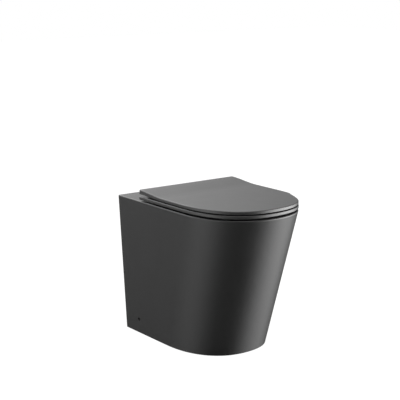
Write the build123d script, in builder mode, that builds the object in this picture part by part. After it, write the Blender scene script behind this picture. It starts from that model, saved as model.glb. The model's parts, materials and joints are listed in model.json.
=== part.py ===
from build123d import *
import math
import os

# A floor-standing toilet that stands with its back to the wall: a china pan, a seat ring and a
# lid on soft-close hinges that click onto two studs and lift off for cleaning.
#
# Millimetres, +Z up, -Y to the front, +Y to the wall. The origin is on the floor, half-way
# across the pan and half-way between the wall and the pan's front.

# Pan, outside
pan_depth = 524.0
pan_width = 350.0
rim_height = 420.0
front_curve = 209.0
front_roundness = 2.2
side_taper = 24.0
front_taper = 125.0
base_front_curve = 194.0
base_front_roundness = 2.3
rim_edge_round = 3.0
base_edge_round = 1.5

# Pan, china thickness
skirt_wall = 12.0
deck_thickness = 18.0
bowl_wall = 9.0
trap_wall = 9.0
horn_wall = 10.0

# Bowl, inside
bowl_width = 272.0
bowl_front_rim = 36.0
bowl_back_ledge = 176.0
bowl_roundness = 2.3
bowl_edge_round = 7.0
bowl_sections = 7
sump_radius = 30.0
sump_from_wall = 279.0
sump_height = 122.0
sump_sections = 4
sump_arc = 80.0

# Trapway and outlet
trap_bore = 56.0
trap_bend = 40.0
trap_turn_from_wall = 220.0
weir_start_from_wall = 162.0
weir_end_from_wall = 120.0
weir_height = 200.0
outlet_height = 183.0
outlet_bend_from_wall = 77.0
outlet_end_from_wall = 30.0
outlet_outer = 102.0
outlet_bore = 82.0
outlet_length = 40.0
outlet_taper = 20.0

# Flush inlet
inlet_height = 330.0
inlet_end_from_wall = 20.0
inlet_socket = 55.0
inlet_socket_depth = 30.0
inlet_bore = 47.0
seal_bore = 44.4
seal_flange = 62.0
seal_flange_thickness = 3.0
seal_depth = 26.0
diffuser_clearance = 0.1
diffuser_wall = 3.0
diffuser_length = 42.0
diffuser_reach = 11.0
diffuser_window_height = 26.0
diffuser_window_width = 7.0

# Floor fixing through the skirt's sides
side_hole = 10.0
side_hole_from_wall = 71.5
side_hole_height = 44.0
side_screw_head = 8.0
side_screw_head_length = 8.0
side_screw_recess = 2.5
side_screw_socket = 4.0
side_screw_thread = 4.2
side_screw_length = 30.0
bracket_gap = 1.0
bracket_length = 52.0
bracket_reach = 40.0
bracket_base = 6.0
bracket_block = 18.0
bracket_block_length = 28.0
bracket_height = 58.0
floor_hole = 8.5
floor_hole_spacing = 34.0
floor_hole_inset = 24.5

# Seat and lid outline
lid_side_setback = 1.0
lid_front_gap = 5.0
seat_front_gap = 5.0
seat_front_curve = 220.0
seat_front_roundness = 2.39
lid_back_from_wall = 108.5
seat_back_setback = 0.5
back_corner_round = 5.0

# Seat ring
seat_lift = 4.0
seat_thickness = 10.0
seat_hole_width = 214.0
seat_hole_front = 62.0
seat_hole_back = 192.0
seat_hole_roundness = 2.3
seat_outer_round = 2.5
seat_inner_round = 4.0

# Lid
lid_gap = 3.0
lid_edge = 9.0
lid_plate = 6.0
lid_lip = 9.0
lid_rise = 7.6
lid_rise_below = 3.6
lid_rise_length = 119.0
lid_top_round = 2.5
lid_bottom_round = 1.0

# Hinge axis and studs
hinge_spacing = 155.0
hinge_axis_height = 16.0
hinge_axis_setback = 4.0
stud_setback = 7.0
stud_diameter = 10.0
stud_clearance = 0.1
stud_height = 15.0
stud_neck = 7.2
stud_groove = 2.6
stud_groove_height = 7.0
stud_flange = 15.0
stud_flange_thickness = 2.6
stud_thread = 6.0
stud_thread_below_deck = 42.0
plate_diameter = 36.0
plate_thickness = 2.5
gasket_thickness = 1.0
anchor_hole = 15.0
anchor_clearance = 0.1
anchor_bulge = 20.0
anchor_below_deck = 15.0
anchor_nut_width = 10.0
anchor_nut_height = 5.0
thread_clearance = 0.05

# Hinge bodies
body_clearance = 0.2
boss_width = 31.0
boss_front = 13.0
boss_back = 8.0
barrel_diameter = 17.0
barrel_length = 29.0
boss_edge_round = 2.0
ear_gap = 0.5
ear_width = 17.5
notch_clearance = 2.0
notch_front = 6.0

# Dampers, shafts, pins and bushes
damper_diameter = 12.8
damper_length = 33.5
damper_clearance = 0.1
damper_key = 3.0
damper_key_height = 0.8
shaft_diameter = 6.0
shaft_flat = 4.4
shaft_clearance = 0.05
shaft_in_damper = 18.0
shaft_in_ear = 14.0
pivot_pin_diameter = 8.0
pivot_pin_in_boss = 7.5
pivot_pin_in_ear = 14.0
bush_wall = 1.5

# Catch and release button
clip_thickness = 1.2
clip_height = 1.8
clip_leg = 6.0
clip_clearance = 0.05
clip_tip_gap = 3.6
clip_tip_reach = 2.0
catch_pocket_width = 13.6
catch_pocket_clearance = 0.3
button_width = 9.6
button_height = 4.4
button_clearance = 0.2
button_length = 4.6
button_lug_width = 12.4
button_lug_length = 1.0
button_nose_length = 2.0
button_travel = 3.0

# Buffers
buffer_length = 18.0
buffer_width = 10.0
buffer_round = 3.0
buffer_gap = 0.3
buffer_stem = 5.0
buffer_stem_length = 3.0
# How far in from the pan's side, how far from its front or from the wall, and the turn in degrees
seat_buffer_front = (54.0, 80.0, 40.0)
seat_buffer_back = (29.0, 162.0, 0.0)
lid_buffer_front = (46.0, 139.0, 12.0)
lid_buffer_back = (35.0, 178.0, 0.0)

# How finely curves are drawn, how far cuts run past a face, and how near counts as the same level
curve_steps = 8
reach_past = 2.0
same_level = 0.5

# Places worked out from the sizes above
wall_y = pan_depth / 2
front_y = wall_y - pan_depth
base_width = pan_width - 2 * side_taper
base_depth = pan_depth - front_taper
seat_width = pan_width
seat_depth = pan_depth - seat_front_gap
lid_width = pan_width - 2 * lid_side_setback
lid_depth = pan_depth - lid_front_gap
deck_under = rim_height - deck_thickness
sump_y = wall_y - sump_from_wall
lid_back_y = wall_y - lid_back_from_wall
seat_back_y = lid_back_y - seat_back_setback
axis_y = lid_back_y - hinge_axis_setback
axis_z = rim_height + hinge_axis_height
stud_y = axis_y - stud_setback
seat_bottom = rim_height + seat_lift
seat_top = seat_bottom + seat_thickness
lid_bottom = seat_top + lid_gap
lid_top = lid_bottom + lid_edge
lid_under = lid_top - lid_plate
plate_top = rim_height + gasket_thickness + plate_thickness
groove_bottom = plate_top + stud_groove_height
boss_inner = hinge_spacing / 2 - boss_width / 2
boss_outer = hinge_spacing / 2 + boss_width / 2
barrel_end = boss_outer + barrel_length
inner_ear_end = boss_inner - ear_gap
inner_ear_start = inner_ear_end - ear_width
outer_ear_start = barrel_end + ear_gap
outer_ear_end = outer_ear_start + ear_width
notch_y = stud_y - boss_front - notch_front

os.makedirs("parts", exist_ok=True)


def write(part, name):
    """Label a finished piece and write it to its own file."""
    part.label = name
    export_step(part, f"parts/{name}.step")


def superellipse(angle, half_width, half_length, roundness):
    """Point of a superellipse about the origin: roundness 2 is an ellipse, more is squarer."""
    across, along = math.cos(angle), math.sin(angle)
    x = half_width * math.copysign(abs(across) ** (2 / roundness), across)
    y = half_length * math.copysign(abs(along) ** (2 / roundness), along)
    return x, y


def between(start, end, share):
    """Value a share of the way from start to end."""
    return start + (end - start) * share


def d_outline(width, depth, curve, roundness, back):
    """D-shaped face: a straight back and sides, then a front that is half a superellipse.
    depth is measured from the wall, and curve is how much of it the front takes."""
    side_end = wall_y - depth + curve
    points = []
    for step in range(curve_steps + 1):
        angle = math.pi * (1 + step / curve_steps)
        x, y = superellipse(angle, width / 2, curve, roundness)
        points.append((x, side_end + y))
    with BuildSketch() as face:
        with BuildLine():
            Spline(*points, tangents=((0, -1), (0, 1)))
            Polyline(points[-1], (width / 2, back), (-width / 2, back), points[0])
        make_face()
    return face.sketch


def oval(half_width, front, back, roundness):
    """Closed superellipse between two places along Y."""
    middle, half_length = (front + back) / 2, (back - front) / 2
    points = []
    for step in range(2 * curve_steps):
        angle = math.pi * step / curve_steps
        x, y = superellipse(angle, half_width, half_length, roundness)
        points.append((x, middle + y))
    with BuildSketch() as face:
        with BuildLine():
            Spline(*points, periodic=True)
        make_face()
    return face.sketch


def bowl_form(grow, top):
    """The bowl's hollow, or with grow its outer skin: an oval at the rim that runs down in a
    smooth S to the round sump, whose bottom is a bowl of its own."""
    radius = sump_radius + grow
    with BuildPart() as form:
        for step in range(bowl_sections):
            share = (1 - math.cos(math.pi * step / (bowl_sections - 1))) / 2
            height = rim_height - (rim_height - sump_height) * step / (bowl_sections - 1)
            with BuildSketch(Plane.XY.offset(height)):
                add(
                    oval(
                        between(bowl_width / 2 + grow, radius, share),
                        between(front_y + bowl_front_rim - grow, sump_y - radius, share),
                        between(wall_y - bowl_back_ledge + grow, sump_y + radius, share),
                        between(bowl_roundness, 2, share),
                    )
                )
        for step in range(1, sump_sections + 1):
            angle = math.radians(sump_arc) * step / sump_sections
            level = sump_height - radius * math.sin(angle)
            with BuildSketch(Plane.XY.offset(level)):
                ring = radius * math.cos(angle)
                add(oval(ring, sump_y - ring, sump_y + ring, 2))
        loft()
        split(bisect_by=Plane.XY.offset(top), keep=Keep.BOTTOM)
    return form.part


def trap_tube(radius):
    """The trapway as a tube: back from the sump, up over the weir and down to the outlet."""
    low = sump_height
    high = weir_height + trap_bore / 2
    with BuildPart() as tube:
        with BuildLine(Plane.YZ) as route:
            FilletPolyline(
                (sump_y, low),
                (wall_y - trap_turn_from_wall, low),
                (wall_y - weir_start_from_wall, high),
                (wall_y - weir_end_from_wall, high),
                (wall_y - outlet_bend_from_wall, outlet_height),
                (wall_y - outlet_end_from_wall - outlet_length / 2, outlet_height),
                radius=trap_bend,
            )
        with BuildSketch(Plane(route.line @ 0, z_dir=route.line % 0)):
            Circle(radius)
        sweep()
    return tube.part


def along_y(start, x, z):
    """Plane square to Y at start, facing the wall, with its own Y upwards."""
    return Plane((x, start, z), x_dir=(-1, 0, 0), z_dir=(0, 1, 0))


def skirt_form(inset):
    """The pan's outer form from the floor to the rim, or with inset the form that far inside it.
    It runs past the wall, so that the pan's back can be cut flat."""
    with BuildPart() as form:
        for height, width, depth, curve, roundness in (
            (0, base_width, base_depth, base_front_curve, base_front_roundness),
            (rim_height, pan_width, pan_depth, front_curve, front_roundness),
        ):
            with BuildSketch(Plane.XY.offset(height)):
                add(
                    d_outline(
                        width - 2 * inset,
                        depth - inset,
                        curve - inset,
                        roundness,
                        wall_y + reach_past,
                    )
                )
        loft(ruled=True)
    return form.part


# Pan: the hollow behind and under the skirt, left open at the back and on the floor
with BuildPart() as skirt_hollow:
    add(skirt_form(skirt_wall))
    split(bisect_by=Plane.XY.offset(deck_under), keep=Keep.BOTTOM)

# Pan: the whole casting
with BuildPart() as pan:
    add(skirt_form(0))
    split(bisect_by=Plane((0, wall_y, 0), z_dir=(0, 1, 0)), keep=Keep.BOTTOM)
    top_face = pan.faces().sort_by(Axis.Z)[-1]
    fillet(top_face.edges().sort_by(Axis.Y)[:-1], rim_edge_round)
    bottom_face = pan.faces().sort_by(Axis.Z)[0]
    fillet(bottom_face.edges().sort_by(Axis.Y)[:-1], base_edge_round)
    add(skirt_hollow.part, mode=Mode.SUBTRACT)
    # Bowl, trapway and outlet spigot, outside
    add(bowl_form(bowl_wall, deck_under + reach_past))
    add(trap_tube(trap_bore / 2 + trap_wall))
    spigot_start = wall_y - outlet_end_from_wall - outlet_length
    with BuildSketch(along_y(spigot_start - outlet_taper, 0, outlet_height)):
        Circle(trap_bore / 2 + trap_wall)
    with BuildSketch(along_y(spigot_start, 0, outlet_height)):
        Circle(outlet_outer / 2)
    loft()
    with BuildSketch(along_y(spigot_start, 0, outlet_height)):
        Circle(outlet_outer / 2)
    extrude(amount=outlet_length)
    # Flush inlet horn, outside
    horn_start = wall_y - bowl_back_ledge - bowl_wall
    with BuildSketch(along_y(horn_start, 0, inlet_height)):
        Circle(inlet_socket / 2 + horn_wall)
    extrude(amount=wall_y - inlet_end_from_wall - horn_start)
    # Water ways
    add(bowl_form(0, rim_height + reach_past), mode=Mode.SUBTRACT)
    bowl_edges = pan.edges().filter_by(lambda edge: edge.is_closed)
    fillet(bowl_edges.group_by(Axis.Z)[-1], bowl_edge_round)
    add(trap_tube(trap_bore / 2), mode=Mode.SUBTRACT)
    with BuildSketch(along_y(spigot_start - outlet_taper, 0, outlet_height)):
        Circle(trap_bore / 2)
    with BuildSketch(along_y(spigot_start, 0, outlet_height)):
        Circle(outlet_bore / 2)
    loft(mode=Mode.SUBTRACT)
    with BuildSketch(along_y(spigot_start, 0, outlet_height)):
        Circle(outlet_bore / 2)
    extrude(amount=outlet_length, mode=Mode.SUBTRACT)
    socket_start = wall_y - inlet_end_from_wall - inlet_socket_depth
    with BuildSketch(along_y(socket_start, 0, inlet_height)):
        Circle(inlet_socket / 2)
    extrude(amount=inlet_socket_depth, mode=Mode.SUBTRACT)
    with BuildSketch(along_y(sump_y + sump_radius, 0, inlet_height)):
        Circle(inlet_bore / 2)
    extrude(amount=socket_start - sump_y - sump_radius, mode=Mode.SUBTRACT)
    # Holes for the hinge anchors and for the side screws
    with Locations((0, stud_y, rim_height)):
        with GridLocations(hinge_spacing, 1, 2, 1):
            Hole(anchor_hole / 2, depth=deck_thickness)
    with Locations((0, wall_y - side_hole_from_wall, side_hole_height)):
        Cylinder(side_hole / 2, pan_width, rotation=(0, 90, 0), mode=Mode.SUBTRACT)
write(pan.part, "pan")

# Flush inlet seal: a flanged rubber sleeve pushed into the horn's socket
with BuildPart() as flush_inlet_seal:
    horn_end = wall_y - inlet_end_from_wall
    with BuildSketch(along_y(horn_end - seal_depth, 0, inlet_height)):
        Circle(inlet_socket / 2)
    extrude(amount=seal_depth)
    with BuildSketch(along_y(horn_end, 0, inlet_height)):
        Circle(seal_flange / 2)
    extrude(amount=seal_flange_thickness)
    fillet(flush_inlet_seal.edges().group_by(Axis.Y)[-1], seal_flange_thickness / 3)
    with BuildSketch(along_y(horn_end - seal_depth, 0, inlet_height)):
        Circle(seal_bore / 2)
    extrude(amount=seal_depth + seal_flange_thickness, mode=Mode.SUBTRACT)
write(flush_inlet_seal.part, "flush_inlet_seal")

# Flush diffuser: a cap on a short sleeve, with a window to the left and one to the right
with BuildPart() as flush_diffuser:
    bowl_back_share = (rim_height - inlet_height) / (rim_height - sump_height)
    bowl_back_y = between(
        wall_y - bowl_back_ledge,
        sump_y + sump_radius,
        (1 - math.cos(math.pi * bowl_back_share)) / 2,
    )
    cap_y = bowl_back_y - diffuser_reach
    diffuser_radius = inlet_bore / 2 - diffuser_clearance
    with BuildSketch(along_y(cap_y, 0, inlet_height)):
        Circle(diffuser_radius)
    extrude(amount=diffuser_length)
    fillet(flush_diffuser.edges().group_by(Axis.Y)[0], diffuser_wall / 2)
    with BuildSketch(along_y(cap_y + diffuser_wall, 0, inlet_height)):
        Circle(diffuser_radius - diffuser_wall)
    extrude(amount=diffuser_length, mode=Mode.SUBTRACT)
    window_y = cap_y + diffuser_wall + diffuser_window_width / 2
    with Locations((0, window_y, inlet_height)):
        Box(
            2 * diffuser_radius + reach_past,
            diffuser_window_width,
            diffuser_window_height,
            mode=Mode.SUBTRACT,
        )
write(flush_diffuser.part, "flush_diffuser")


def revolved(name, x, y, profile):
    """Turned piece on an upright axis: profile is a list of (radius, height)."""
    with BuildPart() as turned:
        with BuildSketch(Plane((x, y, 0), x_dir=(1, 0, 0), z_dir=(0, -1, 0))):
            with BuildLine():
                Polyline(*profile, close=True)
            make_face()
        revolve(axis=Axis((x, y, 0), (0, 0, 1)))
    write(turned.part, name)


def along_x(start, y, z):
    """Plane square to X at start, with its own X along Y and its own Y upwards."""
    return Plane((start, y, z), x_dir=(0, 1, 0), z_dir=(1, 0, 0))


def low_end(side, near, far):
    """The end nearer -X of a stretch from near to far, measured outwards on one side."""
    return min(side * near, side * far)


# Fixings on the deck, the hinge bodies and what is in them, left (-X) and right (+X)
for side, hand in ((-1, "left"), (1, "right")):
    hinge_x = side * hinge_spacing / 2
    plate_bottom = rim_height + gasket_thickness

    with BuildPart() as hinge_gasket:
        with BuildSketch(Plane((hinge_x, stud_y, rim_height))):
            Circle(plate_diameter / 2)
            Circle(stud_thread / 2 + thread_clearance, mode=Mode.SUBTRACT)
        extrude(amount=gasket_thickness)
    write(hinge_gasket.part, f"hinge_gasket_{hand}")

    with BuildPart() as hinge_plate:
        with BuildSketch(Plane((hinge_x, stud_y, plate_bottom))):
            Circle(plate_diameter / 2)
        extrude(amount=plate_thickness)
        chamfer(hinge_plate.edges().group_by(Axis.Z)[-1], plate_thickness / 4)
        with BuildSketch(Plane((hinge_x, stud_y, plate_bottom))):
            Circle(stud_thread / 2 + thread_clearance)
        extrude(amount=plate_thickness, mode=Mode.SUBTRACT)
    write(hinge_plate.part, f"hinge_plate_{hand}")

    # Stud: thread, flange, column, groove and a head with a lead-in
    stud_radius = stud_diameter / 2
    stud_top = plate_top + stud_height
    thread_radius = stud_thread / 2
    revolved(
        f"hinge_stud_{hand}",
        hinge_x,
        stud_y,
        (
            (0, rim_height - stud_thread_below_deck),
            (thread_radius, rim_height - stud_thread_below_deck),
            (thread_radius, plate_top),
            (stud_flange / 2, plate_top),
            (stud_flange / 2, plate_top + stud_flange_thickness),
            (stud_radius, plate_top + stud_flange_thickness),
            (stud_radius, groove_bottom),
            (stud_neck / 2, groove_bottom),
            (stud_neck / 2, groove_bottom + stud_groove),
            (stud_radius, groove_bottom + stud_groove),
            (stud_radius, stud_top - stud_radius / 2),
            (stud_radius / 2, stud_top),
            (0, stud_top),
        ),
    )

    # Anchor: a rubber sleeve in the deck's hole, squeezed into a bulge below it
    anchor_radius = anchor_hole / 2 - anchor_clearance
    anchor_bottom = deck_under - anchor_below_deck
    bulge_half = anchor_below_deck / 3
    revolved(
        f"hinge_anchor_{hand}",
        hinge_x,
        stud_y,
        (
            (thread_radius + thread_clearance, rim_height),
            (anchor_radius, rim_height),
            (anchor_radius, deck_under - anchor_clearance),
            (anchor_bulge / 2, deck_under - bulge_half),
            (anchor_bulge / 2, deck_under - 2 * bulge_half),
            (anchor_radius, anchor_bottom),
            (thread_radius + thread_clearance, anchor_bottom),
        ),
    )

    with BuildPart() as anchor_nut:
        with BuildSketch(Plane((hinge_x, stud_y, anchor_bottom - anchor_nut_height))):
            RegularPolygon(anchor_nut_width / 2, 6, major_radius=False)
            Circle(thread_radius + thread_clearance, mode=Mode.SUBTRACT)
        extrude(amount=anchor_nut_height)
    write(anchor_nut.part, f"anchor_nut_{hand}")

    # Hinge body: a boss over the stud and a barrel for the damper, on the hinge axis
    body_bottom = plate_top + body_clearance
    body_top = axis_z + barrel_diameter / 2
    bore_radius = stud_radius + stud_clearance
    pocket_bottom = groove_bottom + (stud_groove - clip_height) / 2 - catch_pocket_clearance
    pocket_height = clip_height + 2 * catch_pocket_clearance
    button_z = pocket_bottom + pocket_height / 2
    wall_back = axis_y + boss_back
    lug_seat = wall_back - button_length
    pocket_front = stud_y - boss_front + 2 * clip_thickness
    with BuildPart() as hinge_body:
        with BuildSketch(along_x(low_end(side, boss_inner, boss_outer), 0, 0)):
            with BuildLine():
                Polyline(
                    (stud_y - boss_front, body_bottom),
                    (wall_back, body_bottom),
                    (wall_back, axis_z),
                    (axis_y, axis_z),
                    (axis_y, body_top),
                    (stud_y - boss_front, body_top),
                    close=True,
                )
            make_face()
        extrude(amount=boss_width)
        front_edges = hinge_body.edges().filter_by(Axis.X).group_by(Axis.Y)[0]
        fillet(front_edges.sort_by(Axis.Z)[-1], boss_edge_round)
        with BuildSketch(along_x(low_end(side, boss_inner, barrel_end), axis_y, axis_z)):
            Circle(barrel_diameter / 2)
        extrude(amount=barrel_end - boss_inner)
        # Way out at the back for the button's head
        head_room = button_travel + button_clearance
        with BuildSketch(Plane((hinge_x, 0, button_z - button_height / 2 - button_clearance))):
            with Locations((0, lug_seat - head_room)):
                Rectangle(
                    button_width + 2 * button_clearance,
                    head_room + button_length + reach_past,
                    align=(Align.CENTER, Align.MIN),
                )
        extrude(amount=button_height + 2 * button_clearance, mode=Mode.SUBTRACT)
        # Stud bore and the wider space over the stud's flange
        with BuildSketch(Plane((hinge_x, stud_y, body_bottom))):
            Circle(bore_radius)
        extrude(amount=stud_top + body_clearance - body_bottom, mode=Mode.SUBTRACT)
        with BuildSketch(Plane((hinge_x, stud_y, body_bottom))):
            Circle(stud_flange / 2 + body_clearance)
        flange_room = plate_top + stud_flange_thickness + body_clearance - body_bottom
        extrude(amount=flange_room, mode=Mode.SUBTRACT)
        # Pocket for the catch and the button's lugs
        with Locations((hinge_x, pocket_front, pocket_bottom)):
            Box(
                catch_pocket_width,
                lug_seat - pocket_front,
                pocket_height,
                align=(Align.CENTER, Align.MIN, Align.MIN),
                mode=Mode.SUBTRACT,
            )
        # Damper bore with its keyway, open at the barrel's end
        damper_start = barrel_end - damper_length - damper_clearance
        damper_room = damper_length + damper_clearance
        with BuildSketch(along_x(low_end(side, damper_start, barrel_end), axis_y, axis_z)):
            Circle(damper_diameter / 2 + damper_clearance)
            with Locations((0, -damper_diameter / 2)):
                Rectangle(
                    damper_key + 2 * damper_clearance,
                    2 * (damper_key_height + damper_clearance),
                )
        extrude(amount=damper_room, mode=Mode.SUBTRACT)
        # Bore for the pivot pin
        with BuildSketch(
            along_x(low_end(side, boss_inner, boss_inner + pivot_pin_in_boss), axis_y, axis_z)
        ):
            Circle(pivot_pin_diameter / 2)
        extrude(amount=pivot_pin_in_boss, mode=Mode.SUBTRACT)
    write(hinge_body.part, f"hinge_body_{hand}")

    with BuildPart() as damper:
        damper_x = low_end(side, barrel_end - damper_length, barrel_end)
        with BuildSketch(along_x(damper_x, axis_y, axis_z)):
            Circle(damper_diameter / 2)
            with Locations((0, -damper_diameter / 2)):
                Rectangle(damper_key, 2 * damper_key_height)
        extrude(amount=damper_length)
        with BuildSketch(
            along_x(low_end(side, barrel_end - shaft_in_damper, barrel_end), axis_y, axis_z)
        ):
            Circle(shaft_diameter / 2 + shaft_clearance)
        extrude(amount=shaft_in_damper, mode=Mode.SUBTRACT)
    write(damper.part, f"damper_{hand}")

    with BuildPart() as pivot_pin:
        pin_outer = boss_inner + pivot_pin_in_boss
        pin_inner = inner_ear_end - pivot_pin_in_ear
        with BuildSketch(along_x(low_end(side, pin_inner, pin_outer), axis_y, axis_z)):
            Circle(pivot_pin_diameter / 2)
        extrude(amount=pin_outer - pin_inner)
        free_end = Axis.X if side < 0 else -Axis.X
        chamfer(pivot_pin.edges().group_by(free_end)[-1], pivot_pin_diameter / 10)
    write(pivot_pin.part, f"pivot_pin_{hand}")

    # Catch: a spring clip whose legs lie in the stud's groove, tips bent in behind it
    clip_x = stud_neck / 2 + clip_clearance + clip_thickness / 2
    tip_x = clip_tip_gap / 2 + clip_thickness / 2
    with BuildPart() as catch_spring:
        clip_level = pocket_bottom + catch_pocket_clearance
        with BuildSketch(Plane((hinge_x, stud_y, clip_level))):
            with BuildLine():
                RadiusArc((-clip_x, -clip_leg / 2), (clip_x, -clip_leg / 2), -clip_x)
                Polyline(
                    (clip_x, -clip_leg / 2),
                    (clip_x, clip_leg),
                    (tip_x, clip_leg + clip_tip_reach),
                )
                Polyline(
                    (-clip_x, -clip_leg / 2),
                    (-clip_x, clip_leg),
                    (-tip_x, clip_leg + clip_tip_reach),
                )
            trace(line_width=clip_thickness)
        extrude(amount=clip_height)
    write(catch_spring.part, f"catch_spring_{hand}")

    # Release button: a head flush with the hinge's back, lugs that keep it in, and a nose
    # that drives the catch's tips apart
    with BuildPart() as release_button:
        with BuildSketch(Plane((hinge_x, 0, button_z - button_height / 2))):
            with Locations((0, wall_back - button_length / 2)):
                Rectangle(button_width, button_length)
        extrude(amount=button_height)
        fillet(
            release_button.faces().sort_by(Axis.Y)[-1].edges().filter_by(Axis.Z),
            button_height / 4,
        )
        with BuildSketch(Plane((hinge_x, 0, clip_level))):
            with Locations((0, lug_seat - button_clearance - button_lug_length / 2)):
                Rectangle(button_lug_width, button_lug_length)
            with Locations((0, lug_seat - button_clearance / 2)):
                Rectangle(button_width, button_clearance)
            nose_base = lug_seat - button_clearance - button_lug_length
            with BuildLine():
                Polyline(
                    (-clip_tip_gap / 2, nose_base),
                    (-clip_tip_gap / 8, nose_base - button_nose_length),
                    (clip_tip_gap / 8, nose_base - button_nose_length),
                    (clip_tip_gap / 2, nose_base),
                    close=True,
                )
            make_face()
        extrude(amount=clip_height)
    write(release_button.part, f"release_button_{hand}")

    # Floor bracket and the screw that pins the skirt to it
    hole_y = wall_y - side_hole_from_wall
    wall_out = between(base_width, pan_width, side_hole_height / rim_height) / 2
    wall_foot = base_width / 2 - skirt_wall
    bracket_face = wall_foot - bracket_gap
    with BuildPart() as floor_bracket:
        with BuildSketch(Plane((0, hole_y, 0))):
            with Locations((side * (bracket_face - bracket_reach / 2), 0)):
                RectangleRounded(bracket_reach, bracket_length, bracket_base)
        extrude(amount=bracket_base)
        with BuildSketch(Plane((0, hole_y, 0))):
            with Locations((side * (bracket_face - bracket_block / 2), 0)):
                Rectangle(bracket_block, bracket_block_length)
        extrude(amount=bracket_height)
        block_top = floor_bracket.faces().sort_by(Axis.Z)[-1]
        chamfer(block_top.edges().filter_by(Axis.X), bracket_block / 4)
        rib_end = bracket_face - bracket_reach + bracket_base
        with BuildSketch(Plane((0, hole_y, 0), x_dir=(1, 0, 0), z_dir=(0, -1, 0))):
            with BuildLine():
                Polyline(
                    (side * (bracket_face - bracket_block), bracket_base),
                    (side * rib_end, bracket_base),
                    (side * (bracket_face - bracket_block), bracket_height - bracket_block),
                    close=True,
                )
            make_face()
        extrude(amount=bracket_base / 2, both=True)
        with BuildSketch(Plane((side * (bracket_face - floor_hole_inset), hole_y, 0))):
            with GridLocations(1, floor_hole_spacing, 1, 2):
                Circle(floor_hole / 2)
        extrude(amount=bracket_base, mode=Mode.SUBTRACT)
        with BuildSketch(
            along_x(low_end(side, bracket_face - bracket_block, bracket_face), hole_y, side_hole_height)
        ):
            Circle(side_screw_thread / 2)
        extrude(amount=bracket_block, mode=Mode.SUBTRACT)
    write(floor_bracket.part, f"floor_bracket_{hand}")

    with BuildPart() as side_screw:
        head_out = wall_out - side_screw_recess
        head_in = head_out - side_screw_head_length
        with BuildSketch(along_x(low_end(side, head_in, head_out), hole_y, side_hole_height)):
            Circle(side_screw_head / 2)
        extrude(amount=side_screw_head_length)
        tip = head_out - side_screw_length
        with BuildSketch(along_x(low_end(side, tip, head_in), hole_y, side_hole_height)):
            Circle(side_screw_thread / 2)
        extrude(amount=head_in - tip)
        socket_in = head_out - side_screw_head_length / 2
        with BuildSketch(along_x(low_end(side, socket_in, head_out), hole_y, side_hole_height)):
            RegularPolygon(side_screw_socket / 2, 6, major_radius=False)
        extrude(amount=side_screw_head_length / 2, mode=Mode.SUBTRACT)
    write(side_screw.part, f"side_screw_{hand}")


def buffer_locations(front, back):
    """Places of four buffers, each turned to follow the plate's edge."""
    spots = (
        (pan_width / 2 - front[0], front_y + front[1], front[2]),
        (pan_width / 2 - back[0], wall_y - back[1], back[2]),
    )
    return [Location((side * x, y), side * turn) for x, y, turn in spots for side in (-1, 1)]


def flatted_hole(clearance):
    """Round face with two flats, the section of a damper's shaft."""
    with BuildSketch() as face:
        Circle(shaft_diameter / 2 + clearance)
        Rectangle(shaft_diameter * 2, shaft_flat + 2 * clearance, mode=Mode.INTERSECT)
    return face.sketch


def damper_shaft(name, side):
    """Shaft from the damper into the ear beside it, round in the one and flatted in the other."""
    with BuildPart() as shaft:
        start = barrel_end - shaft_in_damper
        with BuildSketch(along_x(low_end(side, start, outer_ear_start), axis_y, axis_z)):
            Circle(shaft_diameter / 2)
        extrude(amount=outer_ear_start - start)
        end = outer_ear_start + shaft_in_ear
        with BuildSketch(along_x(low_end(side, outer_ear_start, end), axis_y, axis_z)):
            add(flatted_hole(0))
        extrude(amount=shaft_in_ear)
    write(shaft.part, name)


def ear_bush(name, side):
    """Plain bush between a pivot pin and the ear on it."""
    inner = pivot_pin_diameter / 2 + shaft_clearance
    with BuildPart() as bush:
        with BuildSketch(along_x(low_end(side, bush_end, inner_ear_end), axis_y, axis_z)):
            Circle(inner + bush_wall)
            Circle(inner, mode=Mode.SUBTRACT)
        extrude(amount=inner_ear_end - bush_end)
    write(bush.part, name)


def buffers(name, places, level, height, stem_top):
    """Rubber pads in one node, each with a stem in the plate above it."""
    with BuildPart() as pads:
        with BuildSketch(Plane.XY.offset(level)):
            with Locations(*places):
                RectangleRounded(buffer_width, buffer_length, buffer_round)
        extrude(amount=height)
        with BuildSketch(Plane.XY.offset(level + height)):
            with Locations(*places):
                Circle(buffer_stem / 2)
        extrude(amount=stem_top - level - height)
    write(pads.part, name)


bush_end = inner_ear_end - pivot_pin_in_ear - buffer_gap
bush_radius = pivot_pin_diameter / 2 + shaft_clearance + bush_wall
ear_radius = barrel_diameter / 2
rise_start = lid_back_y - lid_rise_length
seat_buffer_places = buffer_locations(seat_buffer_front, seat_buffer_back)
lid_buffer_places = buffer_locations(lid_buffer_front, lid_buffer_back)

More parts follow.
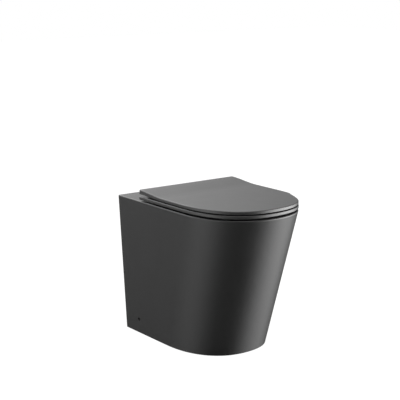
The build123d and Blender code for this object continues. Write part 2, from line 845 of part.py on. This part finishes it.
# Seat ring
with BuildPart() as seat_ring:
    with BuildSketch(Plane.XY.offset(seat_bottom)):
        add(d_outline(seat_width, seat_depth, seat_front_curve, seat_front_roundness, seat_back_y))
    extrude(amount=seat_thickness)
    fillet(seat_ring.edges().filter_by(Axis.Z).group_by(Axis.Y)[-1], back_corner_round)
    fillet(seat_ring.edges().group_by(Axis.Z)[-1], seat_outer_round)
    fillet(seat_ring.edges().group_by(Axis.Z)[0], seat_outer_round)
    with BuildSketch(Plane.XY.offset(seat_bottom)):
        add(
            oval(
                seat_hole_width / 2,
                front_y + seat_hole_front,
                wall_y - seat_hole_back,
                seat_hole_roundness,
            )
        )
    extrude(amount=seat_thickness, mode=Mode.SUBTRACT)
    hole_edges = seat_ring.edges().filter_by(lambda edge: edge.is_closed)
    fillet(hole_edges.sort_by(Axis.Z)[-1], seat_inner_round)
    fillet(hole_edges.sort_by(Axis.Z)[0], seat_outer_round)
    # Room for the hinge bodies and for the lid's ears
    for start, end in (
        (-outer_ear_end - notch_clearance, -inner_ear_start),
        (inner_ear_start - notch_clearance, outer_ear_end),
    ):
        with BuildSketch(Plane.XY.offset(seat_bottom)):
            with Locations((start, notch_y)):
                Rectangle(end - start, notch_y, align=(Align.MIN, Align.MIN))
        extrude(amount=seat_thickness, mode=Mode.SUBTRACT)
    # Ears round the pivot pin on the left and round the damper's shaft on the right
    for start in (-inner_ear_end, outer_ear_start):
        with BuildSketch(along_x(start, 0, 0)):
            with Locations((axis_y, axis_z)):
                Circle(ear_radius)
            with BuildLine():
                Polyline(
                    (notch_y - reach_past, seat_bottom),
                    (axis_y, axis_z - ear_radius),
                    (axis_y, axis_z + ear_radius),
                    (notch_y - reach_past, seat_top),
                    close=True,
                )
            make_face()
        extrude(amount=ear_width)
    with BuildSketch(along_x(-inner_ear_end, axis_y, axis_z)):
        Circle(bush_radius)
    extrude(amount=inner_ear_end - bush_end, mode=Mode.SUBTRACT)
    with BuildSketch(along_x(outer_ear_start, axis_y, axis_z)):
        add(flatted_hole(shaft_clearance))
    extrude(amount=shaft_in_ear + buffer_gap, mode=Mode.SUBTRACT)
    with BuildSketch(Plane.XY.offset(seat_bottom)):
        with Locations(*seat_buffer_places):
            Circle(buffer_stem / 2)
    extrude(amount=buffer_stem_length, mode=Mode.SUBTRACT)
write(seat_ring.part, "seat_ring")

buffers(
    "seat_buffers",
    seat_buffer_places,
    rim_height + buffer_gap,
    seat_lift - buffer_gap,
    seat_bottom + buffer_stem_length,
)
damper_shaft("seat_damper_shaft", 1)
ear_bush("seat_bush", -1)


def lid_slab(inset, back, top, bottom, rise_below):
    """The lid's plate between two levels: its D-shaped outline, or with inset the outline that
    far inside it, with a back that rises in an S, above and below."""
    behind = lid_back_y + reach_past
    with BuildPart() as slab:
        with BuildSketch(Plane.YZ):
            with BuildLine():
                Polyline(
                    (rise_start, bottom), (front_y, bottom), (front_y, top), (rise_start, top)
                )
                Spline(
                    (rise_start, top), (lid_back_y, top + lid_rise), tangents=((1, 0), (1, 0))
                )
                Polyline(
                    (lid_back_y, top + lid_rise),
                    (behind, top + lid_rise),
                    (behind, bottom + rise_below),
                    (lid_back_y, bottom + rise_below),
                )
                Spline(
                    (lid_back_y, bottom + rise_below),
                    (rise_start, bottom),
                    tangents=((-1, 0), (-1, 0)),
                )
            make_face()
        extrude(amount=lid_width, both=True)
        with BuildSketch(Plane.XY.offset(rim_height)):
            add(
                d_outline(
                    lid_width - 2 * inset,
                    lid_depth - inset,
                    seat_front_curve - inset,
                    seat_front_roundness,
                    back,
                )
            )
        extrude(amount=rim_height, mode=Mode.INTERSECT)
    return slab.part


def outline_edges(plate, low, high):
    """A plate's edges between two levels, without its upright corners and without the seams
    where its back begins to rise."""
    level = plate.edges().filter_by(Axis.Z, reverse=True).filter_by_position(Axis.Z, low, high)
    return level.filter_by(lambda edge: abs(edge.center().Y - rise_start) > reach_past)


# Lid: a plate with a lip at the front and sides, and two ears under its back
with BuildPart() as lid:
    add(lid_slab(0, lid_back_y, lid_top, lid_bottom, lid_rise_below))
    fillet(lid.edges().filter_by(Axis.Z).group_by(Axis.Y)[-1], back_corner_round)
    fillet(outline_edges(lid, lid_top - same_level, lid_top + lid_rise + same_level), lid_top_round)
    fillet(
        outline_edges(lid, lid_bottom - same_level, lid_bottom + lid_rise_below + same_level),
        lid_bottom_round,
    )
    add(
        lid_slab(lid_lip, lid_back_y + reach_past, lid_under, lid_bottom - reach_past, 0),
        mode=Mode.SUBTRACT,
    )
    for start in (-outer_ear_end, inner_ear_start):
        with BuildSketch(along_x(start, 0, 0)):
            with Locations((axis_y, axis_z)):
                Circle(ear_radius)
            with Locations((axis_y - ear_radius, axis_z)):
                Rectangle(
                    ear_radius + hinge_axis_setback - buffer_gap,
                    lid_under + lid_rise + reach_past - axis_z,
                    align=(Align.MIN, Align.MIN),
                )
        extrude(amount=ear_width)
    with BuildSketch(along_x(bush_end, axis_y, axis_z)):
        Circle(bush_radius)
    extrude(amount=inner_ear_end - bush_end, mode=Mode.SUBTRACT)
    with BuildSketch(
        along_x(-outer_ear_start - shaft_in_ear - buffer_gap, axis_y, axis_z)
    ):
        add(flatted_hole(shaft_clearance))
    extrude(amount=shaft_in_ear + buffer_gap, mode=Mode.SUBTRACT)
    with BuildSketch(Plane.XY.offset(lid_under)):
        with Locations(*lid_buffer_places):
            Circle(buffer_stem / 2)
    extrude(amount=buffer_stem_length, mode=Mode.SUBTRACT)
write(lid.part, "lid")

buffers(
    "lid_buffers",
    lid_buffer_places,
    seat_top + buffer_gap,
    lid_under - seat_top - buffer_gap,
    lid_under + buffer_stem_length,
)
damper_shaft("lid_damper_shaft", -1)
ear_bush("lid_bush", 1)
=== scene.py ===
# %% [markdown]
# A floor-standing toilet in satin black. The pan is one piece of glazed china, and the seat and
# the lid are moulded to match it. Their shapes could be modelled again here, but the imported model
# has every piece to size already. It is loaded as a fixed frame in metres, so each surface stands
# in its real place, and what is left to make is finish, light and view.

import json
import math

import bmesh
import bpy
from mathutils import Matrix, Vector

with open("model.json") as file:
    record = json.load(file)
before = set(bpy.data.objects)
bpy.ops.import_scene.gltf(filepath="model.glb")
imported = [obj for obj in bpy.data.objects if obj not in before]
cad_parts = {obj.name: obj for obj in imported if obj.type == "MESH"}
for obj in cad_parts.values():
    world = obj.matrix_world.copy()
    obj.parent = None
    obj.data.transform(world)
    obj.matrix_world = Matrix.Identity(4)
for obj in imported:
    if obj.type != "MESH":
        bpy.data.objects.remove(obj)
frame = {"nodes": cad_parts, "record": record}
nodes = frame["nodes"]
scene = bpy.context.scene
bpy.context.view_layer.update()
MM = 0.001

# %% [markdown]
# A material is a graph of nodes, and the sums in it could be wired up by hand, one Math node at a
# time. Written as Python expressions they stay readable: this class wraps one socket, and each
# operator adds the Math node that works it out.


# %% Sums of shader sockets
class Wire:
    """A node's output that can be added, subtracted and multiplied in Python."""

    def __init__(self, finish, socket):
        self.finish = finish
        self.socket = socket

    def maths(self, operation, first, second):
        return self.finish.node("ShaderNodeMath", {"operation": operation}, {0: first, 1: second})

    def __add__(self, other):
        return self.maths("ADD", self, other)

    def __sub__(self, other):
        return self.maths("SUBTRACT", self, other)

    def __rsub__(self, other):
        return self.maths("SUBTRACT", other, self)

    def __mul__(self, other):
        return self.maths("MULTIPLY", self, other)

    __radd__ = __add__
    __rmul__ = __mul__


print("wires: +, - and * each add a Math node")

# %% [markdown]
# Every finish below is one Principled shader. What is even all over a piece is set on the shader,
# and what varies is fed to it from noise. A painted image could carry the same speckle, but it
# would have to be wrapped round each piece and would blur close up. Noise on Object coordinates
# is given in real sizes, stays on its piece when that moves, and suits a stud as well as the pan.


# %% One material
class Finish:
    """One material: its shader, and the kinds of node that the finishes share."""

    def __init__(self, name, **even):
        self.material = bpy.data.materials.new(name)
        self.material.use_nodes = True
        self.tree = self.material.node_tree
        self.shader = self.tree.nodes["Principled BSDF"]
        for socket, value in even.items():
            self.shader.inputs[socket.replace("_", " ")].default_value = value

    def node(self, kind, settings=None, sockets=None, output=0):
        """Add any node: its settings first, then a value or a wire for each named socket."""
        made = self.tree.nodes.new(kind)
        for name, value in (settings or {}).items():
            setattr(made, name, value)
        for key, value in (sockets or {}).items():
            if isinstance(value, Wire):
                self.tree.links.new(value.socket, made.inputs[key])
            else:
                made.inputs[key].default_value = value
        return Wire(self, made.outputs[output])

    def feed(self, socket, wire):
        """Let a wire drive one of the shader's own sockets."""
        self.tree.links.new(wire.socket, self.shader.inputs[socket])

    def place(self, stretch=(1, 1, 1)):
        """Position on the piece in metres, squeezed along an axis where stretch is over 1."""
        here = self.node("ShaderNodeTexCoord", output="Object")
        return self.node("ShaderNodeMapping", None, {"Vector": here, "Scale": stretch})

    def along(self, axis):
        """Distance along X, Y or Z, in metres from the frame's origin."""
        return self.node("ShaderNodeSeparateXYZ", None, {0: self.place()}, output=axis)

    def noise(self, size, detail, stretch=(1, 1, 1)):
        """Cloudy noise from 0 to 1 whose blobs are about size metres across."""
        return self.node(
            "ShaderNodeTexNoise",
            None,
            {"Vector": self.place(stretch), "Scale": 1 / size, "Detail": detail},
        )

    def step(self, value, low, high):
        """0 below low, 1 above high, and smooth between."""
        return self.node(
            "ShaderNodeMapRange",
            {"interpolation_type": "SMOOTHSTEP"},
            {"Value": value, "From Min": low, "From Max": high},
        )

    def colours(self, share, first, second):
        """Colour that goes from first to second with share."""
        sockets = {0: share, 6: first, 7: second}  # 6 and 7 take the colours of a Mix node
        return self.node("ShaderNodeMix", {"data_type": "RGBA"}, sockets, output=2)

    def bump(self, height, depth):
        """Surface relief: height from 0 to 1 stands for depth metres."""
        relief = self.node("ShaderNodeBump", None, {"Height": height, "Distance": depth})
        self.feed("Normal", relief)


print("finish: place, along, noise, step, colours and bump are ready")

# %% [markdown]
# Nearly every colour here is a grey, with a breath of red or blue in it at most. Three numbers
# each would say that less plainly than one brightness and one warmth, so a helper turns these
# into a colour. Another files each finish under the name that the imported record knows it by.


# %% Greys and the shelf of finishes
def grey(value, warmth=0.0):
    """Colour near grey; warmth over 0 leans to red, under 0 to blue."""
    return (value * (1 + warmth), value, value * (1 - warmth), 1)


finishes = {}


def keep(slot, finish):
    """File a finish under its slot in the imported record."""
    finishes[slot] = finish.material
    print(slot, "->", finish.material.name, "with", len(finish.tree.nodes), "nodes")


print("a warm grey:", grey(0.5, warmth=0.1))

# %% [markdown]
# The pan's glaze is a satin black: it spreads a reflection into a soft band instead of mirroring
# it. Fired glaze isn't quite even, so its roughness drifts over a hand's width, and its skin has
# a faint orange peel a few millimetres across. Where the casting stands on the floor and meets
# the wall it is ground flat, and there the pale body shows. Those two faces could be painted one
# by one, but their height and depth already tell them apart, so two smooth steps pick them out.


# %% Black china glaze
WALL = 262 * MM  # the pan's back face
GROUND_ROUGHER = 0.45


def china_glaze():
    glaze = Finish("china_glaze", IOR=1.5)
    clouds = glaze.noise(size=90 * MM, detail=3)
    grain = glaze.noise(size=1.4 * MM, detail=2)
    peel = glaze.noise(size=5 * MM, detail=1)
    black = glaze.colours(clouds, grey(0.0125), grey(0.0150))
    body = glaze.colours(grain, grey(0.30, warmth=0.04), grey(0.38, warmth=0.05))
    foot = 1 - glaze.step(glaze.along("Z"), low=0.2 * MM, high=0.6 * MM)
    back = glaze.step(glaze.along("Y"), low=WALL - 0.5 * MM, high=WALL - 0.1 * MM)
    ground = foot + back - foot * back
    satin = 0.33 + 0.05 * clouds + 0.03 * grain
    glaze.feed("Base Color", glaze.colours(ground, black, body))
    glaze.feed("Roughness", satin + GROUND_ROUGHER * ground)
    glaze.bump(height=0.7 * peel + 0.3 * grain, depth=0.02 * MM)
    return glaze


keep("china", china_glaze())

# %% [markdown]
# Seat and lid are pressed from a thermoset powder, which is dense and takes the mould's satin
# texture. They could share the pan's glaze, but beside it the real ones are a touch greyer, and
# their grain is finer and more even, so they get a finish of their own.


# %% Satin seat shell
def seat_shell():
    shell = Finish("seat_shell", IOR=1.5)
    drift = shell.noise(size=60 * MM, detail=2)
    grain = shell.noise(size=0.8 * MM, detail=3)
    shell.feed("Base Color", shell.colours(drift, grey(0.019), grey(0.022)))
    shell.feed("Roughness", 0.31 + 0.04 * drift + 0.04 * grain)
    shell.bump(height=grain, depth=0.012 * MM)
    return shell


keep("seat_shell", seat_shell())

# %% [markdown]
# Rubber pads, washers and sleeves are dull. Even grey would look like paint, so dust settles in
# their pores: noise that is cut off by a step leaves pale specks with clean rubber between them.


# %% Rubber
def soft_rubber():
    rubber = Finish("soft_rubber", IOR=1.5)
    pores = rubber.noise(size=0.6 * MM, detail=3)
    dust = rubber.step(rubber.noise(size=7 * MM, detail=4), low=0.5, high=0.8)
    rubber.feed("Base Color", rubber.colours(dust, grey(0.028), grey(0.06, warmth=0.03)))
    rubber.feed("Roughness", 0.62 + 0.2 * pores)
    rubber.bump(height=pores, depth=0.05 * MM)
    return rubber


keep("rubber", soft_rubber())

# %% [markdown]
# The hinge bodies and their cover plates are cast zinc with a satin black coat. It could be a
# metal under a clear layer, but the coat hides the metal, so a plain dark shader does. The coat
# lies over a fine sand-cast grain, and hands polish it in patches.


# %% Coated hinge metal
def hinge_coat():
    coat = Finish("hinge_coat", IOR=1.5)
    grain = coat.noise(size=0.5 * MM, detail=2)
    handled = coat.step(coat.noise(size=16 * MM, detail=3), low=0.42, high=0.62)
    coat.feed("Base Color", coat.colours(handled, grey(0.020), grey(0.026)))
    coat.feed("Roughness", 0.42 - 0.1 * handled + 0.06 * grain)
    coat.bump(height=grain, depth=0.02 * MM)
    return coat


keep("hinge_metal", hinge_coat())

# %% [markdown]
# Studs, pins, clips and nuts are bare stainless steel. Turned steel has fine rings round its
# axis. They could be cut into the shape, but are far too small for that, so noise is squeezed
# along the studs' axis into thin level lines. A film is slightly rougher where coolant dried.


# %% Turned stainless steel
RING_SQUEEZE = (1, 1, 12)


def turned_steel():
    steel = Finish("turned_steel", Metallic=1.0)
    rings = steel.noise(size=0.9 * MM, detail=3, stretch=RING_SQUEEZE)
    film = steel.noise(size=9 * MM, detail=3)
    steel.feed("Base Color", steel.colours(film, grey(0.52), grey(0.62, warmth=0.01)))
    steel.feed("Roughness", 0.2 + 0.12 * film + 0.1 * rings)
    steel.bump(height=rings, depth=0.01 * MM)
    return steel


keep("steel", turned_steel())

# %% [markdown]
# The side screws are blackened so that they don't show in the skirt's holes. The black wears off
# where a key has turned them: the step leaves small bright patches in it.


# %% Blackened screw steel
def black_screw():
    screw = Finish("black_screw", Metallic=0.6)
    worn = screw.step(screw.noise(size=1.5 * MM, detail=4), low=0.55, high=0.75)
    dark = grey(0.022, warmth=0.02)
    bare = grey(0.11, warmth=0.03)
    screw.feed("Base Color", screw.colours(worn, dark, bare))
    screw.feed("Roughness", 0.5 - 0.15 * worn)
    screw.bump(height=worn, depth=0.01 * MM)
    return screw


keep("screw_black", black_screw())

# %% [markdown]
# Dampers, bushes, the diffuser and the buttons are dark moulded plastic, and the floor brackets
# are white. Both carry the mould's spark texture and faint upright flow marks, so one function
# makes both, and only the greys differ.


# %% Moulded plastics
FLOW_SQUEEZE = (1, 1, 3)


def moulded_plastic(name, low, high, warmth=0.0):
    plastic = Finish(name, IOR=1.47)
    spark = plastic.noise(size=0.7 * MM, detail=3)
    flow = plastic.noise(size=14 * MM, detail=2, stretch=FLOW_SQUEEZE)
    plastic.feed("Base Color", plastic.colours(flow, grey(low, warmth), grey(high, warmth)))
    plastic.feed("Roughness", 0.4 + 0.12 * spark + 0.06 * flow)
    plastic.bump(height=spark, depth=0.02 * MM)
    return plastic


keep("fitting_plastic", moulded_plastic("dark_plastic", low=0.04, high=0.05))
keep("bracket_plastic", moulded_plastic("white_plastic", low=0.62, high=0.68, warmth=0.015))

# %% [markdown]
# Each node has one material slot. Its finish could be chosen by the node's name, but the packed
# record already says which slot each node takes its finish from, so the two can't drift apart.

# %% Give every node its finish
for entry in frame["record"]["subparts"]:
    mesh = nodes[entry["node"]].data
    mesh.materials.clear()
    mesh.materials.append(finishes[entry["material_slot"]])

# %% [markdown]
# A camera and a lamp are placed alike: each stands at a point and looks along its own -Z axis.
# Angles round the object are easier to picture than a vector, so one function turns a compass
# angle and a rise into a direction, and another stands an object up to face along it.


# %% Directions and stands
def towards(degrees, rise):
    """Direction at a compass angle from the front (-Y) to the right (+X), and so far up."""
    turn = math.radians(degrees)
    up = math.radians(rise)
    return (math.sin(turn) * math.cos(up), -math.cos(turn) * math.cos(up), math.sin(up))


def stand(name, data, place, facing):
    """Object at a place, looking along a direction with its top upwards."""
    made = bpy.data.objects.new(name, data)
    made.location = place
    made.rotation_mode = "QUATERNION"
    made.rotation_quaternion = facing.to_track_quat("-Z", "Y")
    scene.collection.objects.link(made)
    return made


print("straight ahead is", towards(0, 0))

# %% [markdown]
# The camera stands where the photograph was taken from: ahead of the pan and to its left, about
# a metre up and three metres off, with a long lens that keeps the sides nearly parallel. It could
# be placed by eye, but the pan's outline in the photograph fixes it, so the fitted numbers stand.

# %% Camera
CAMERA_COMPASS = -37.02
CAMERA_RISE = 12.11
CAMERA_PLACE = Vector((-1.916, -2.453, 1.094))
SENSOR_WIDTH = 36.0
FOCAL_LENGTH = 98.6
lens = bpy.data.cameras.new("camera")
lens.sensor_width = SENSOR_WIDTH
lens.lens = FOCAL_LENGTH
backwards = Vector(towards(CAMERA_COMPASS, CAMERA_RISE))
scene.camera = stand("camera", lens, CAMERA_PLACE, -backwards)
print("camera", round(CAMERA_PLACE.length, 2), "m away")

# %% [markdown]
# The picture's ground is plain white, with a soft shade only round the object. Paint that is lit
# up to white would take lamps that drown the black pan. So for the camera most of the floor glows
# by itself, and the rest of it is paint, which takes the shade. Gloss rays pass the floor by: the
# satin skin mirrors the world's brightness, which goes on below it.


# %% Floor
FLOOR_HALF = 12.0
FLOOR_WHITENESS = 0.85  # the glowing share
FLOOR_GLOW = 1.12


def floor_finish():
    paint = Finish("floor_paint", Roughness=0.9, Base_Color=grey(0.7))
    seen = paint.node("ShaderNodeLightPath", output="Is Camera Ray")
    white = paint.node("ShaderNodeEmission", None, {"Strength": FLOOR_GLOW})
    painted = Wire(paint, paint.shader.outputs[0])
    mixed = paint.node(
        "ShaderNodeMixShader", None, {0: FLOOR_WHITENESS * seen, 1: painted, 2: white}
    )
    paint.tree.links.new(mixed.socket, paint.tree.nodes["Material Output"].inputs["Surface"])
    return paint.material


sheet = bmesh.new()
bmesh.ops.create_grid(sheet, x_segments=1, y_segments=1, size=FLOOR_HALF)
floor_mesh = bpy.data.meshes.new("floor")
sheet.to_mesh(floor_mesh)
sheet.free()
floor = bpy.data.objects.new("floor", floor_mesh)
floor_mesh.materials.append(floor_finish())
floor.visible_glossy = False
scene.collection.objects.link(floor)
print("floor", 2 * FLOOR_HALF, "m wide")

# %% [markdown]
# The studio round the object: a strong softbox ahead and to the right, a weaker one on the left,
# a pale glow high up behind, and a dark gap where the camera stands. They could be lamps, but a
# lamp has an edge, and a satin skin shows it. Here each is a smooth lobe of the world's
# brightness about its own direction, so the reflections are soft bands. The camera itself sees
# plain white past the object.


# %% Studio world
class Studio(Finish):
    """The world's nodes, with the same helpers as a finish."""

    def __init__(self, name):
        self.world = bpy.data.worlds.new(name)
        self.world.use_nodes = True
        self.tree = self.world.node_tree
        self.shader = self.tree.nodes["Background"]
        self.shader.inputs["Color"].default_value = (1, 1, 1, 1)

    def lobe(self, degrees, rise, tightness, strength):
        """Brightness about one direction: strength in the middle, less to the sides."""
        looking = self.node("ShaderNodeTexCoord", output="Generated")
        facing = self.node(
            "ShaderNodeVectorMath",
            {"operation": "DOT_PRODUCT"},
            {0: looking, 1: towards(degrees, rise)},
            output="Value",
        )
        ahead = self.node("ShaderNodeMath", {"operation": "MAXIMUM"}, {0: facing, 1: 0.0})
        curve = self.node("ShaderNodeMath", {"operation": "POWER"}, {0: ahead, 1: tightness})
        return strength * curve


DIM_ROOM = 0.05
studio = Studio("studio")
softboxes = (
    studio.lobe(degrees=55, rise=0, tightness=7, strength=12.6)
    + studio.lobe(degrees=-100, rise=0, tightness=7, strength=2.6)
    + studio.lobe(degrees=185, rise=35, tightness=6, strength=5.2)
    + DIM_ROOM
)
to_camera = studio.node("ShaderNodeLightPath", output="Is Camera Ray")
studio.feed("Strength", softboxes * (1 - to_camera) + to_camera)
scene.world = studio.world
scene.view_settings.view_transform = "Standard"
print("studio world with", len(studio.tree.nodes), "nodes")

# %% [markdown]
# One real lamp hangs ahead of the pan and above it. The world alone would light the lid and leave
# no clear shade at the foot: a lamp gives both a direction, and a wide one keeps the shade soft.

# %% Lamp over the pan
LAMP_WIDTH = 1.6
LAMP_POWER = 30
LAMP_PLACE = Vector((-0.4, -0.6, 2.6))
PAN_MIDDLE = Vector((0, 0, 0.22))
light = bpy.data.lights.new("lamp_top", "AREA")
light.shape = "RECTANGLE"
light.size = LAMP_WIDTH
light.size_y = LAMP_WIDTH
light.energy = LAMP_POWER
stand("lamp_top", light, LAMP_PLACE, PAN_MIDDLE - LAMP_PLACE)
print("lamp", round((LAMP_PLACE - PAN_MIDDLE).length, 2), "m from the pan")

# %% [markdown]
# Last, the script says that it is done.

# %% Done
print("scene done")
